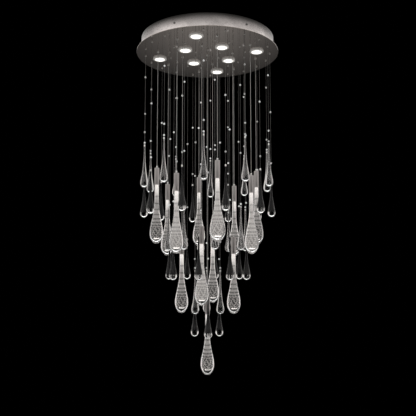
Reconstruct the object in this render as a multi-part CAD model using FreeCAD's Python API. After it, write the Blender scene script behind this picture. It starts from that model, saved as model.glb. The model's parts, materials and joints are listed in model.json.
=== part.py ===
import FreeCAD, Part
import math
import os

# Crystal chandelier, millimetres, +Z up
# The origin is the middle of the ceiling face, so the part hangs below it.
# An angle of a ring is counted from the front, which is -Y, towards +X.

# Canopy: a round drum under the ceiling, closed below by a wider face plate
CANOPY_HEIGHT = 60.0
FACE_PLATE_D = 600.0
FACE_PLATE_THICK = 2.0
FACE_PLATE_EDGE_R = 0.5
DRUM_D = 560.0
DRUM_FLANGE = 9.5
SHEET = 1.2

# Base disc that is screwed to the ceiling, with bent tabs that take the drum's side screws
BASE_D = 552.0
BASE_THICK = 1.5
CEILING_SCREWS = 6
CEILING_SCREW_PCD = 300.0
CEILING_SCREW_FIRST_ANGLE = 3.0
CEILING_SCREW_HOLE_D = 6.5
TAB_COUNT = 6
TAB_FIRST_ANGLE = -27.0
TAB_WIDTH = 22.0
TAB_HEIGHT = 38.0
TAB_OUTER_R = 276.4
TAB_HOLE_D = 4.2

# Rubber bush for the supply cable, gripping the edge of the hole in the base disc
CABLE_ENTRY_D = 24.0
BUSH_GROOVE_GAP = 0.05
BUSH_LIP = 2.0
BUSH_LIP_THICK = 2.5
BUSH_WALL = 3.0

# Side screws through drum and tabs
SIDE_SCREW_D = 4.0
SIDE_SCREW_LENGTH = 10.0
SIDE_SCREW_DEPTH = 27.0
SIDE_SCREW_HOLE_D = 4.6
SIDE_SCREW_HEAD_D = 9.0
SIDE_SCREW_HEAD_THICK = 2.6
SIDE_SCREW_DOME_R = 1.8
SIDE_SCREW_SLOT = 1.2
SIDE_SCREW_SLOT_TURN = 35.0
SIDE_NUT_ACROSS = 7.0
SIDE_NUT_BORE_D = 4.1
SIDE_NUT_THICK = 3.0
SEAT_GAP = 0.02

# Studs on the back of the face plate and the nuts that hold the drum to it
STUD_COUNT = 10
STUD_FIRST_ANGLE = 6.0
STUD_R = 274.6
STUD_D = 3.0
STUD_LENGTH = 8.0
STUD_HOLE_D = 3.4
STUD_NUT_ACROSS = 5.5
STUD_NUT_THICK = 2.4

# Downlights: ring radius, first angle and count of each ring
LAMP_RINGS = ((109.5, 33.0, 4), (211.0, -12.0, 4))
LAMP_D = 49.6
LAMP_PROUD = 6.0
BEZEL_D = 58.0
BEZEL_EDGE_R = 2.0
BEZEL_OPENING_D = 45.4
BEZEL_LIP = 1.2
BEZEL_BORE_D = 50.0
BEZEL_TUBE_D = 52.4
BEZEL_TUBE_HEIGHT = 10.0
LAMP_HOLE_D = 53.0
LENS_THICK = 2.6
LAMP_LENGTH = 38.0
LAMP_FRONT = 4.0
LAMP_BOWL_STEP = 1.0
LAMP_BACK = 8.0
LAMP_BACK_D = 22.0
SOCKET_D = 25.0
SOCKET_THICK = 11.0
SOCKET_EDGE = 1.5
CLIP_WIDTH = 8.0
CLIP_LENGTH = 15.0
CLIP_THICK = 0.8
CLIP_GAP = 0.1

# Control gear under the base disc
DRIVER_SIZE = (120.0, 42.0, 26.0)
DRIVER_EDGE_R = 2.5
DRIVER_R = 208.0
DRIVER_ANGLES = (123.0, -57.0, -147.0)
TERMINAL_SIZE = (46.0, 20.0, 16.0)
TERMINAL_R = 205.0
TERMINAL_ANGLE = 33.0
TERMINAL_WAYS = 5
TERMINAL_HOLE_D = 4.5
TERMINAL_HOLE_DEPTH = 6.0
TERMINAL_HOLE_INSET = 5.4

# Lit pendants: ring radius, first angle, count and the depths of the holder's top below the face plate
OUTER_PENDANTS = (211.0, 10.5, 8, (497.0, 541.0))
INNER_PENDANTS = (109.0, -12.0, 4, (742.0, 779.0))
CENTRE_PENDANT = (0.0, 0.0, 1, (1023.5,))
CABLE_D = 2.0
CABLE_IN_GRIP = 5.0
CABLE_IN_FERRULE = 7.0
FERRULE_D = 6.5
FERRULE_LENGTH = 9.0
FERRULE_EDGE_R = 1.4
HOLDER_D = 20.0
HOLDER_LENGTH = 70.0
HOLDER_BORE_D = 18.0
HOLDER_ROOF = 3.0
HOLDER_EDGE_R = 0.8
LED_D = 15.0
LED_THICK = 5.0
LED_ABOVE_CRYSTAL = 1.0
CRYSTAL_NECK_D = 17.6
CRYSTAL_IN_HOLDER = 14.0
CRYSTAL_LENGTH = 241.0
CRYSTAL_BELLY_D = 55.0
FRONT_CRYSTAL_BELLY_D = 60.0
CRYSTAL_BELLY_HEIGHT = 42.0
CRYSTAL_NECK_HEIGHT = 176.0

# Outline of a crystal between belly and neck: share of that height, share of the radius lost
CRYSTAL_FLANK = ((0.24, 0.17), (0.50, 0.57), (0.74, 0.88))

# Clear strands: ring radius, first angle, count and, for the two kinds that take turns on the ring,
# the depth of the drop's foot below the face plate with the heights of the beads above that foot
OUTER_STRANDS = (265.0, -3.0, 20, ((582.0, (184.0, 228.0, 459.0)), (697.0, (224.0, 442.0))))
MIDDLE_STRANDS = (162.0, -12.0, 16, ((954.0, (313.0, 595.0)), (836.0, (184.0, 391.0, 673.0))))
INNER_STRANDS = (58.5, 3.0, 6, ((1185.0, (316.0, 666.0)), (1090.0, (184.0, 289.0, 702.0))))
WIRE_D = 0.8
WIRE_IN_GRIP = 3.5
WIRE_ABOVE_DROP = 0.2
BEAD_D = 8.0
BEAD_TABLE_D = 4.0
BEAD_HALF_HEIGHT = 3.6
DROP_LENGTH = 172.0
DROP_BELLY_D = 32.0
DROP_BELLY_HEIGHT = 17.0
DROP_NECK_D = 4.6
DROP_FLANK = ((0.14, 0.22), (0.28, 0.52), (0.55, 0.86))
CAP_D = 6.0
CAP_LENGTH = 8.0
CAP_ON_DROP = 4.0
CAP_EDGE_R = 1.2
GLUE_GAP = 0.05

# Grips in the face plate: a nozzle with a threaded stem, and a nut on the back of the plate
CABLE_GRIP_D = 9.0
CABLE_GRIP_PROUD = 6.0
WIRE_GRIP_D = 6.0
WIRE_GRIP_PROUD = 4.0
GRIP_STEM_STEP = 3.0
GRIP_HOLE_STEP = 2.8
GRIP_NUT_STEP = 0.5
GRIP_NUT_THICK = 2.6
GRIP_RISE = 9.0

# Gap round a wire or a cable in its grip, so that it can sway
SWAY_GAP = 0.55

# How far a cutting tool reaches past the sheet that it cuts
REACH = 1.0

X = FreeCAD.Vector(1, 0, 0)
INWARD = FreeCAD.Vector(0, 1, 0)
Z = FreeCAD.Vector(0, 0, 1)
CENTRE = FreeCAD.Vector(0, 0, 0)
PLATE_FACE_Z = -CANOPY_HEIGHT
PLATE_TOP_Z = PLATE_FACE_Z + FACE_PLATE_THICK


def on_ring(radius, angle, z=0.0):
    turn = math.radians(angle)
    return FreeCAD.Vector(radius * math.sin(turn), -radius * math.cos(turn), z)


def ring_angles(first, count):
    return [first + i * 360 / count for i in range(count)]


def rod(diameter, length, foot, axis=Z):
    return Part.makeCylinder(diameter / 2, length, foot, axis)


def tube(outer_d, inner_d, length, foot):
    return rod(outer_d, length, foot).cut(rod(inner_d, length, foot))


def hex_nut(across, hole_d, thick, foot):
    corners = [foot + on_ring(across / math.sqrt(3), angle) for angle in ring_angles(0, 6)]
    prism = Part.Face(Part.makePolygon(corners + corners[:1])).extrude(Z * thick)
    return prism.cut(rod(hole_d, thick, foot))


def turned(outline):
    # A closed outline of radius and height, turned round the middle axis
    points = [FreeCAD.Vector(radius, 0, height) for radius, height in outline]
    return Part.Face(Part.makePolygon(points + points[:1])).revolve(CENTRE, Z, 360).Solids[0]


def facing_out(shape, angle):
    # A shape drawn at the front, facing -Y, is turned to its place on the ring
    shape.rotate(CENTRE, Z, angle)
    return shape


def moved(shape, place):
    copy = shape.copy()
    copy.translate(place)
    return copy


def rounded(shape, radius, wanted):
    # Rounds the edges whose middle passes the test
    return shape.makeFillet(radius, [edge for edge in shape.Edges if wanted(edge.CenterOfMass)])


def save(name, solids):
    shape = solids[0] if len(solids) == 1 else Part.makeCompound(solids)
    shape.exportStep("parts/" + name + ".step")


def drop_shape(length, belly_d, belly_height, neck_d, neck_height, flank):
    # Solid of revolution: a half ellipsoid at the foot, a curved flank and a straight neck
    belly = FreeCAD.Vector(belly_d / 2, 0, belly_height)
    neck = FreeCAD.Vector(neck_d / 2, 0, neck_height)
    round_foot = Part.Ellipse(CENTRE, belly, Z * belly_height)
    limits = sorted((round_foot.parameter(CENTRE), round_foot.parameter(belly)))
    points = [belly]
    for rise, lost in flank:
        radius = belly.x - lost * (belly.x - neck.x)
        points.append(FreeCAD.Vector(radius, 0, belly_height + rise * (neck_height - belly_height)))
    points.append(neck)
    side = Part.BSplineCurve()
    side.interpolate(Points=points, InitialTangent=Z, FinalTangent=Z)
    edges = [round_foot.toShape(*limits), side.toShape()]
    if length > neck_height:
        edges.append(Part.LineSegment(neck, neck + Z * (length - neck_height)).toShape())
    edges.append(Part.LineSegment(FreeCAD.Vector(neck.x, 0, length), Z * length).toShape())
    edges.append(Part.LineSegment(Z * length, CENTRE).toShape())
    outline = Part.Wire(Part.__sortEdges__(edges))
    return Part.Face(outline).revolve(CENTRE, Z, 360).Solids[0]


def base_disc():
    # Flat disc against the ceiling with bent tabs inside the drum
    disc = rod(BASE_D, BASE_THICK, Z * -BASE_THICK)
    for angle in ring_angles(TAB_FIRST_ANGLE, TAB_COUNT):
        tab = Part.makeBox(TAB_WIDTH, BASE_THICK, TAB_HEIGHT)
        tab.translate(FreeCAD.Vector(-TAB_WIDTH / 2, -TAB_OUTER_R, -TAB_HEIGHT))
        start = FreeCAD.Vector(0, -TAB_OUTER_R - REACH, -SIDE_SCREW_DEPTH)
        hole = rod(TAB_HOLE_D, BASE_THICK + 2 * REACH, start, INWARD)
        disc = disc.fuse(facing_out(tab.cut(hole), angle))
    disc = disc.removeSplitter()
    hole_foot = -BASE_THICK - REACH
    hole_length = BASE_THICK + 2 * REACH
    for angle in ring_angles(CEILING_SCREW_FIRST_ANGLE, CEILING_SCREWS):
        place = on_ring(CEILING_SCREW_PCD / 2, angle, hole_foot)
        disc = disc.cut(rod(CEILING_SCREW_HOLE_D, hole_length, place))
    return disc.cut(rod(CABLE_ENTRY_D, hole_length, Z * hole_foot))


def cable_bush():
    # Its upper end is level with the disc, so that the disc lies flat on the ceiling
    groove = CABLE_ENTRY_D / 2 - BUSH_GROOVE_GAP
    lip = groove + BUSH_LIP
    bore = groove - BUSH_WALL
    under_disc = -BASE_THICK
    foot = under_disc - BUSH_LIP_THICK
    lower = [(bore, foot), (lip, foot), (lip, under_disc)]
    upper = [(groove, under_disc), (groove, 0), (bore, 0)]
    return turned(lower + upper)


def canopy_drum():
    # Rolled wall with a narrow flange turned in at its foot
    foot = Z * PLATE_TOP_Z
    wall = tube(DRUM_D, DRUM_D - 2 * SHEET, -PLATE_TOP_Z, foot)
    flange = tube(DRUM_D - 2 * SHEET, DRUM_D - 2 * DRUM_FLANGE, SHEET, foot)
    drum = wall.fuse(flange).removeSplitter()
    start = FreeCAD.Vector(0, -DRUM_D / 2 - REACH, -SIDE_SCREW_DEPTH)
    for angle in ring_angles(TAB_FIRST_ANGLE, TAB_COUNT):
        drum = drum.cut(facing_out(rod(SIDE_SCREW_HOLE_D, SHEET + 2 * REACH, start, INWARD), angle))
    for angle in ring_angles(STUD_FIRST_ANGLE, STUD_COUNT):
        drum = drum.cut(rod(STUD_HOLE_D, SHEET + 2 * REACH, on_ring(STUD_R, angle, PLATE_TOP_Z - REACH)))
    return drum


def side_screw():
    # Domed slotted head outside the drum and a shank that goes through the tab
    seat = FreeCAD.Vector(0, -DRUM_D / 2 - SEAT_GAP, -SIDE_SCREW_DEPTH)
    head_front = seat.y - SIDE_SCREW_HEAD_THICK
    head = rod(SIDE_SCREW_HEAD_D, SIDE_SCREW_HEAD_THICK, seat - INWARD * SIDE_SCREW_HEAD_THICK, INWARD)
    head = rounded(head, SIDE_SCREW_DOME_R, lambda middle: abs(middle.y - head_front) < SEAT_GAP)
    slot = Part.makeBox(SIDE_SCREW_HEAD_D, SIDE_SCREW_SLOT, SIDE_SCREW_SLOT)
    slot.translate(FreeCAD.Vector(-SIDE_SCREW_HEAD_D / 2, head_front, seat.z - SIDE_SCREW_SLOT / 2))
    screw = head.fuse(rod(SIDE_SCREW_D, SIDE_SCREW_LENGTH, seat, INWARD)).cut(slot)
    screw.rotate(seat, INWARD, SIDE_SCREW_SLOT_TURN)
    return screw


def side_nut():
    nut = hex_nut(SIDE_NUT_ACROSS, SIDE_NUT_BORE_D, SIDE_NUT_THICK, CENTRE)
    nut.rotate(CENTRE, X, -90)
    nut.translate(FreeCAD.Vector(0, -TAB_OUTER_R + BASE_THICK + SEAT_GAP, -SIDE_SCREW_DEPTH))
    return nut


def drum_side_screws():
    angles = ring_angles(TAB_FIRST_ANGLE, TAB_COUNT)
    return [facing_out(piece, angle) for angle in angles for piece in (side_screw(), side_nut())]


def cable_places():
    rings = (OUTER_PENDANTS, INNER_PENDANTS, CENTRE_PENDANT)
    return [(ring[0], angle) for ring in rings for angle in ring_angles(ring[1], ring[2])]


def wire_places():
    rings = (OUTER_STRANDS, MIDDLE_STRANDS, INNER_STRANDS)
    return [(ring[0], angle) for ring in rings for angle in ring_angles(ring[1], ring[2])]


def lamp_places():
    return [(radius, angle) for radius, first, count in LAMP_RINGS for angle in ring_angles(first, count)]


def face_plate():
    # Polished round plate with the lamp holes and the holes for the grips
    plate = rod(FACE_PLATE_D, FACE_PLATE_THICK, Z * PLATE_FACE_Z)
    plate = plate.makeFillet(FACE_PLATE_EDGE_R, [edge for edge in plate.Edges if len(edge.Vertexes) == 1])
    holes = [(LAMP_HOLE_D, place) for place in lamp_places()]
    holes += [(CABLE_GRIP_D - GRIP_HOLE_STEP, place) for place in cable_places()]
    holes += [(WIRE_GRIP_D - GRIP_HOLE_STEP, place) for place in wire_places()]
    length = FACE_PLATE_THICK + 2 * REACH
    cuts = [rod(diameter, length, on_ring(*place, PLATE_FACE_Z - REACH)) for diameter, place in holes]
    return plate.cut(Part.makeCompound(cuts))


def plate_fixings():
    # Studs welded to the back of the face plate, through the drum's flange, each with its nut
    solids = []
    for angle in ring_angles(STUD_FIRST_ANGLE, STUD_COUNT):
        foot = on_ring(STUD_R, angle, PLATE_TOP_Z)
        solids.append(rod(STUD_D, STUD_LENGTH, foot))
        solids.append(hex_nut(STUD_NUT_ACROSS, STUD_D, STUD_NUT_THICK, foot + Z * SHEET))
    return solids


def grip(outer_d, proud, wire_d, radius, angle):
    foot = on_ring(radius, angle, PLATE_FACE_Z - proud)
    nozzle = rounded(rod(outer_d, proud, foot), outer_d / 6, lambda middle: middle.z < foot.z + SEAT_GAP)
    stem = rod(outer_d - GRIP_STEM_STEP, GRIP_RISE, foot + Z * proud)
    body = nozzle.fuse(stem).cut(rod(wire_d + 2 * SWAY_GAP, proud + GRIP_RISE, foot)).removeSplitter()
    nut_foot = on_ring(radius, angle, PLATE_TOP_Z)
    return [body, hex_nut(outer_d - GRIP_NUT_STEP, outer_d - GRIP_STEM_STEP, GRIP_NUT_THICK, nut_foot)]


def wire_grips():
    solids = []
    for place in cable_places():
        solids += grip(CABLE_GRIP_D, CABLE_GRIP_PROUD, CABLE_D, *place)
    for place in wire_places():
        solids += grip(WIRE_GRIP_D, WIRE_GRIP_PROUD, WIRE_D, *place)
    return solids


def lamp_bezel(radius, angle):
    # Ring proud of the plate with a tube through it, and a lip that the lamp rests on
    foot = on_ring(radius, angle, PLATE_FACE_Z - LAMP_PROUD)
    ring = rounded(rod(BEZEL_D, LAMP_PROUD, foot), BEZEL_EDGE_R, lambda middle: middle.z < foot.z + SEAT_GAP)
    body = ring.fuse(rod(BEZEL_TUBE_D, BEZEL_TUBE_HEIGHT, foot + Z * LAMP_PROUD))
    body = body.cut(rod(BEZEL_OPENING_D, BEZEL_LIP, foot))
    bore = rod(BEZEL_BORE_D, LAMP_PROUD + BEZEL_TUBE_HEIGHT, foot + Z * BEZEL_LIP)
    return body.cut(bore).removeSplitter()


def lens_foot_z():
    return PLATE_FACE_Z - LAMP_PROUD + BEZEL_LIP


def lamp_lens(radius, angle):
    return rod(LAMP_D, LENS_THICK, on_ring(radius, angle, lens_foot_z()))


def lamp_body(radius, angle):
    # Bowl of the reflector, narrowing to its base
    foot = on_ring(radius, angle, lens_foot_z() + LENS_THICK)
    front = rod(LAMP_D, LAMP_FRONT, foot)
    bowl_height = LAMP_LENGTH - LAMP_FRONT - LAMP_BACK
    bowl = Part.makeCone(LAMP_D / 2 - LAMP_BOWL_STEP, LAMP_BACK_D / 2, bowl_height, foot + Z * LAMP_FRONT)
    back = rod(LAMP_BACK_D, LAMP_BACK, foot + Z * (LAMP_LENGTH - LAMP_BACK))
    return front.fuse([bowl, back]).removeSplitter()


def lamp_socket(radius, angle):
    foot = on_ring(radius, angle, lens_foot_z() + LENS_THICK + LAMP_LENGTH)
    socket = rod(SOCKET_D, SOCKET_THICK, foot)
    top = foot.z + SOCKET_THICK
    return socket.makeChamfer(SOCKET_EDGE, [e for e in socket.Edges if e.CenterOfMass.z > top - SEAT_GAP])


def lamp_clip(radius, angle, side):
    # Leaf spring that pulls a bezel up against the plate
    leg = Part.makeBox(CLIP_THICK, CLIP_WIDTH, BEZEL_TUBE_HEIGHT - FACE_PLATE_THICK)
    arm = Part.makeBox(CLIP_LENGTH, CLIP_WIDTH, CLIP_THICK)
    clip = leg.fuse(arm).removeSplitter()
    clip.translate(FreeCAD.Vector(BEZEL_TUBE_D / 2 + CLIP_GAP, -CLIP_WIDTH / 2, PLATE_TOP_Z))
    clip.rotate(CENTRE, Z, angle + side)
    clip.translate(on_ring(radius, angle))
    return clip


def lamp_clips():
    return [lamp_clip(*place, side) for place in lamp_places() for side in (-90, 90)]


def led_driver(angle):
    length, width, height = DRIVER_SIZE
    case = Part.makeBox(length, width, height)
    case = rounded(case, DRIVER_EDGE_R, lambda middle: abs(middle.z - height / 2) < SEAT_GAP)
    case.translate(FreeCAD.Vector(-length / 2, -DRIVER_R - width / 2, -BASE_THICK - height))
    return facing_out(case, angle)


def terminal_block():
    # One strip of screw terminals, with two screw holes for each way
    length, width, height = TERMINAL_SIZE
    block = Part.makeBox(length, width, height)
    pitch = length / TERMINAL_WAYS
    for i in range(TERMINAL_WAYS):
        for across in (TERMINAL_HOLE_INSET, width - TERMINAL_HOLE_INSET):
            mouth = FreeCAD.Vector((i + 0.5) * pitch, across, 0)
            block = block.cut(rod(TERMINAL_HOLE_D, TERMINAL_HOLE_DEPTH, mouth))
    block.translate(FreeCAD.Vector(-length / 2, -TERMINAL_R - width / 2, -BASE_THICK - height))
    return facing_out(block, TERMINAL_ANGLE)


def control_gear():
    return [led_driver(angle) for angle in DRIVER_ANGLES] + [terminal_block()]


def pendant_holder(radius, angle, depth):
    # Cable, ferrule, metal holder and the light module inside it
    top = PLATE_FACE_Z - depth
    cable_top = PLATE_FACE_Z - CABLE_GRIP_PROUD + CABLE_IN_GRIP
    cable_foot = top + FERRULE_LENGTH - CABLE_IN_FERRULE
    cable = rod(CABLE_D, cable_top - cable_foot, on_ring(radius, angle, cable_foot))
    ferrule_foot = on_ring(radius, angle, top)
    ferrule_top = top + FERRULE_LENGTH
    ferrule = rod(FERRULE_D, FERRULE_LENGTH, ferrule_foot)
    ferrule = rounded(ferrule, FERRULE_EDGE_R, lambda middle: middle.z > ferrule_top - SEAT_GAP)
    ferrule = ferrule.cut(rod(CABLE_D, FERRULE_LENGTH, ferrule_foot))
    shell_foot = on_ring(radius, angle, top - HOLDER_LENGTH)
    shell = rod(HOLDER_D, HOLDER_LENGTH, shell_foot)
    shell = rounded(shell, HOLDER_EDGE_R, lambda middle: middle.z > top - SEAT_GAP)
    shell = shell.cut(rod(HOLDER_BORE_D, HOLDER_LENGTH - HOLDER_ROOF, shell_foot))
    module = rod(LED_D, LED_THICK, shell_foot + Z * (CRYSTAL_IN_HOLDER + LED_ABOVE_CRYSTAL))
    return [cable, ferrule, shell, module]


def crystal(belly_d):
    length = CRYSTAL_LENGTH + CRYSTAL_IN_HOLDER
    belly, neck = CRYSTAL_BELLY_HEIGHT, CRYSTAL_NECK_HEIGHT
    return drop_shape(length, belly_d, belly, CRYSTAL_NECK_D, neck, CRYSTAL_FLANK)


def cut_bead():
    # Two cones with flat tables, threaded on the wire
    upper = Part.makeCone(BEAD_D / 2, BEAD_TABLE_D / 2, BEAD_HALF_HEIGHT, CENTRE)
    lower = Part.makeCone(BEAD_D / 2, BEAD_TABLE_D / 2, BEAD_HALF_HEIGHT, CENTRE, Z * -1)
    hole = rod(WIRE_D + 2 * GLUE_GAP, 2 * BEAD_HALF_HEIGHT, Z * -BEAD_HALF_HEIGHT)
    return upper.fuse(lower).removeSplitter().cut(hole).Solids[0]


def strand(radius, angle, kind, drop, bead):
    # Wire from its grip to the cap, with the beads on it, and the clear drop under the cap
    depth, bead_heights = kind
    foot = on_ring(radius, angle, PLATE_FACE_Z - depth)
    neck_top = foot + Z * DROP_LENGTH
    cap_foot = neck_top - Z * CAP_ON_DROP
    cap_top_z = cap_foot.z + CAP_LENGTH
    cap = rod(CAP_D, CAP_LENGTH, cap_foot)
    cap = rounded(cap, CAP_EDGE_R, lambda middle: middle.z > cap_top_z - SEAT_GAP)
    cap = cap.cut(rod(DROP_NECK_D + 2 * GLUE_GAP, CAP_ON_DROP, cap_foot))
    cap = cap.cut(rod(WIRE_D, CAP_LENGTH, cap_foot))
    wire_foot = neck_top + Z * WIRE_ABOVE_DROP
    wire_top_z = PLATE_FACE_Z - WIRE_GRIP_PROUD + WIRE_IN_GRIP
    wire = rod(WIRE_D, wire_top_z - wire_foot.z, wire_foot)
    return [wire, cap, moved(drop, foot)] + [moved(bead, foot + Z * height) for height in bead_heights]


def save_canopy():
    lamps = lamp_places()
    save("base_disc", [base_disc()])
    save("cable_bush", [cable_bush()])
    save("canopy_drum", [canopy_drum()])
    save("drum_side_screws", drum_side_screws())
    save("face_plate", [face_plate()])
    save("plate_fixings", plate_fixings())
    save("wire_grips", wire_grips())
    save("lamp_bezels", [lamp_bezel(*place) for place in lamps])
    save("lamp_lenses", [lamp_lens(*place) for place in lamps])
    save("lamp_bodies", [lamp_body(*place) for place in lamps])
    save("lamp_sockets", [lamp_socket(*place) for place in lamps])
    save("lamp_clips", lamp_clips())
    save("control_gear", control_gear())


def save_pendant(name, radius, angle, depth, crystal_shape):
    save(name + "_holder", pendant_holder(radius, angle, depth))
    foot_z = PLATE_FACE_Z - depth - HOLDER_LENGTH - CRYSTAL_LENGTH
    save(name + "_crystal", [moved(crystal_shape, on_ring(radius, angle, foot_z))])


def save_pendants():
    # Only the pendant at the very front has the wider crystal
    crystal_shape = crystal(CRYSTAL_BELLY_D)
    for name, ring in (("outer", OUTER_PENDANTS), ("inner", INNER_PENDANTS)):
        radius, first, count, depths = ring
        for i, angle in enumerate(ring_angles(first, count)):
            at_front = ring is OUTER_PENDANTS and i == 0
            shape = crystal(FRONT_CRYSTAL_BELLY_D) if at_front else crystal_shape
            save_pendant("%s_pendant_%d" % (name, i + 1), radius, angle, depths[i % len(depths)], shape)
    radius, angle, count, depths = CENTRE_PENDANT
    save_pendant("centre_pendant", radius, angle, depths[0], crystal_shape)


def save_strand_pairs(name, ring, drop, bead):
    # Strands that face each other across the middle make a pair and sway about the line through their grips
    radius, first, count, kinds = ring
    angles = ring_angles(first, count)
    half = count // 2
    for i in range(half):
        solids = []
        for k in (i, i + half):
            solids += strand(radius, angles[k], kinds[k % len(kinds)], drop, bead)
        save("%s_strand_pair_%d" % (name, i + 1), solids)


def save_strands():
    drop = drop_shape(DROP_LENGTH, DROP_BELLY_D, DROP_BELLY_HEIGHT, DROP_NECK_D, DROP_LENGTH, DROP_FLANK)
    bead = cut_bead()
    save_strand_pairs("outer", OUTER_STRANDS, drop, bead)
    save_strand_pairs("middle", MIDDLE_STRANDS, drop, bead)
    save_strand_pairs("inner", INNER_STRANDS, drop, bead)


os.makedirs("parts", exist_ok=True)
save_canopy()
save_pendants()
save_strands()
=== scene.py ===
import json
import math

import bpy
import numpy as np
from bpy.props import FloatProperty, FloatVectorProperty, IntProperty, PointerProperty
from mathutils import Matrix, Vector


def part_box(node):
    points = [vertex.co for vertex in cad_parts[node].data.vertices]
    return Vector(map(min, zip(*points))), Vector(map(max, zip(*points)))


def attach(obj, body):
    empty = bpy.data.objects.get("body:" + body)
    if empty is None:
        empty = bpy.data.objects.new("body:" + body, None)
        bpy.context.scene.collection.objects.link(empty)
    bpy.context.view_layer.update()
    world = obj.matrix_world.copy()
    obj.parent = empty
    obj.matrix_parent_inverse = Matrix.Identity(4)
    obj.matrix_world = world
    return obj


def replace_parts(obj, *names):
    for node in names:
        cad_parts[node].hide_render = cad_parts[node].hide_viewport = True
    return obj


# Crystal chandelier: finishes of the canopy, lit bubble crystals in their holders, and strands of cut
# beads that end in clear or dark drops.
# Lengths are in metres, in the frame of the imported model: +Z up, with the ceiling face at height 0.

bl_info = {
    "name": "Crystal Chandelier",
    "version": (1, 0, 0),
    "blender": (4, 5, 0),
    "location": "3D View > Sidebar > Chandelier",
    "description": "Builds the lit canopy, bubble crystals and beaded strands of a crystal chandelier",
    "category": "Object",
}

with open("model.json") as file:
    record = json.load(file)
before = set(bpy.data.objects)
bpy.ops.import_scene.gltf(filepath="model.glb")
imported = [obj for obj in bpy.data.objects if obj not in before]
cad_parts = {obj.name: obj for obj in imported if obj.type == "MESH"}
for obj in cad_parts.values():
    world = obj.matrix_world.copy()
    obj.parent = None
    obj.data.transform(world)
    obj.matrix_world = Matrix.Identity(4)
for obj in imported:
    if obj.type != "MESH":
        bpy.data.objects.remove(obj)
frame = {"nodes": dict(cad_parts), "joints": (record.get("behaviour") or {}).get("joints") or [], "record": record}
BODIES = frame["record"]["behaviour"]["bodies"]
PENDANTS = [body for body in BODIES if "pendant" in body]
STRAND_PAIRS = [body for body in BODIES if "strands" in body]
MM = 0.001

# Strength of the brightest light that the bubbles can give
BRIGHTEST = 2.0

# Crystals nearer to the front than this get painted light: their bubbles glow brighter and their
# hollows show less, as if more light fell on them
FRONT_ROW = -100 * MM

# A ring's longer strands reach lower than its shorter ones by more than this
KIND_STEP = 50 * MM

# Outlines between belly and neck: share of that height, share of the radius lost
CRYSTAL_FLANK = ((0.24, 0.17), (0.50, 0.57), (0.74, 0.88))
DROP_FLANK = ((0.14, 0.22), (0.28, 0.52), (0.55, 0.86))

# The cable starts inside its ferrule, this far above the holder's roof
CABLE_START = 2 * MM

# The light module's foot above the holder's rim, and the rise of its domed light source
MODULE_FOOT = 15 * MM
MODULE_DOME = 1.6 * MM

# The light under a holder sets in between these depths below the crystal's top
NECK_LIGHT = (95 * MM, 10 * MM)

# The light at the foot of the bubbles sets in between these heights above the clear foot
FOOT_LIGHT = (4.5 * MM, 0.5 * MM)

# How far bubbles in the belly stray sideways and along the glass, as shares of their spacing, and the
# steps from bubble to bubble and from row to row of the two sines that scatter them
STRAY_ASIDE = 0.22
STRAY_ALONG = 0.24
ASIDE_STEPS = (2.4, 1.7)
ALONG_STEPS = (3.9, 0.9)

# A bubble's width as a share of its place in the row, and how much more of it that is in the neck. Its
# half length as a share of the pitch, and its depth as a share of its width
BUBBLE_WIDTH = (0.74, 0.06)
BUBBLE_LENGTH = 0.38
BUBBLE_DEPTH = 0.7

# The camera fitted to the photograph: place, tilt upwards in degrees, lens and sensor in millimetres
CAMERA_PLACE = (0.0025, -2.4065, -0.9732)
CAMERA_TILT = 6.045
CAMERA_LENS = 50.44
CAMERA_SENSOR = 36

# Soft lights: place, the point that each one faces, and its width and height
FRONT_LIGHT = ((-0.9, -3.4, 1.1), (0, 0, -0.4), (1.6, 1.2))
BACK_LIGHT = ((0, 2.0, 1.5), (0, 0, -0.9), (2.0, 0.6))

# Where each tone of the studio sets in and where it is full. A height is -1 straight down, 0 at the
# horizon and 1 straight up. Aside is 0 straight ahead or behind and 1 straight to the left or right.
# LOW_BESIDE is the low tone's share at the sides, and OVERHEAD_ASIDE is how far the overhead tone
# comes down there.
CEILING_HEIGHT = (0.10, 0.34)
LOW_HEIGHT = (-0.29, -0.42)
LOW_ASIDE = (0.16, 0.0)
LOW_BESIDE = 0.3
SIDE_HEIGHT = (-0.30, -0.12)
SIDE_ASIDE = (0.5, 0.9)
GLASS_FOOT = (-0.60, -0.40)
GLASS_HEAD = (0.45, 0.28)
GLASS_ASIDE = (0.46, 0.60)
OVERHEAD = (0.66, 0.78)
OVERHEAD_ASIDE = 0.5

BLACK = (0.0, 0.0, 0.0, 1.0)


def length(name, text, default):
    return FloatProperty(
        name=name, description=text, default=default, subtype="DISTANCE", unit="LENGTH", precision=4)


def colour(name, text, default):
    return FloatVectorProperty(
        name=name, description=text, default=default, subtype="COLOR", size=3, min=0, max=1)


def share(name, text, default, most=1.0):
    return FloatProperty(name=name, description=text, default=default, min=0, max=most)


def power(name, text, default):
    return FloatProperty(name=name, description=text, default=default, unit="POWER")


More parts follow.
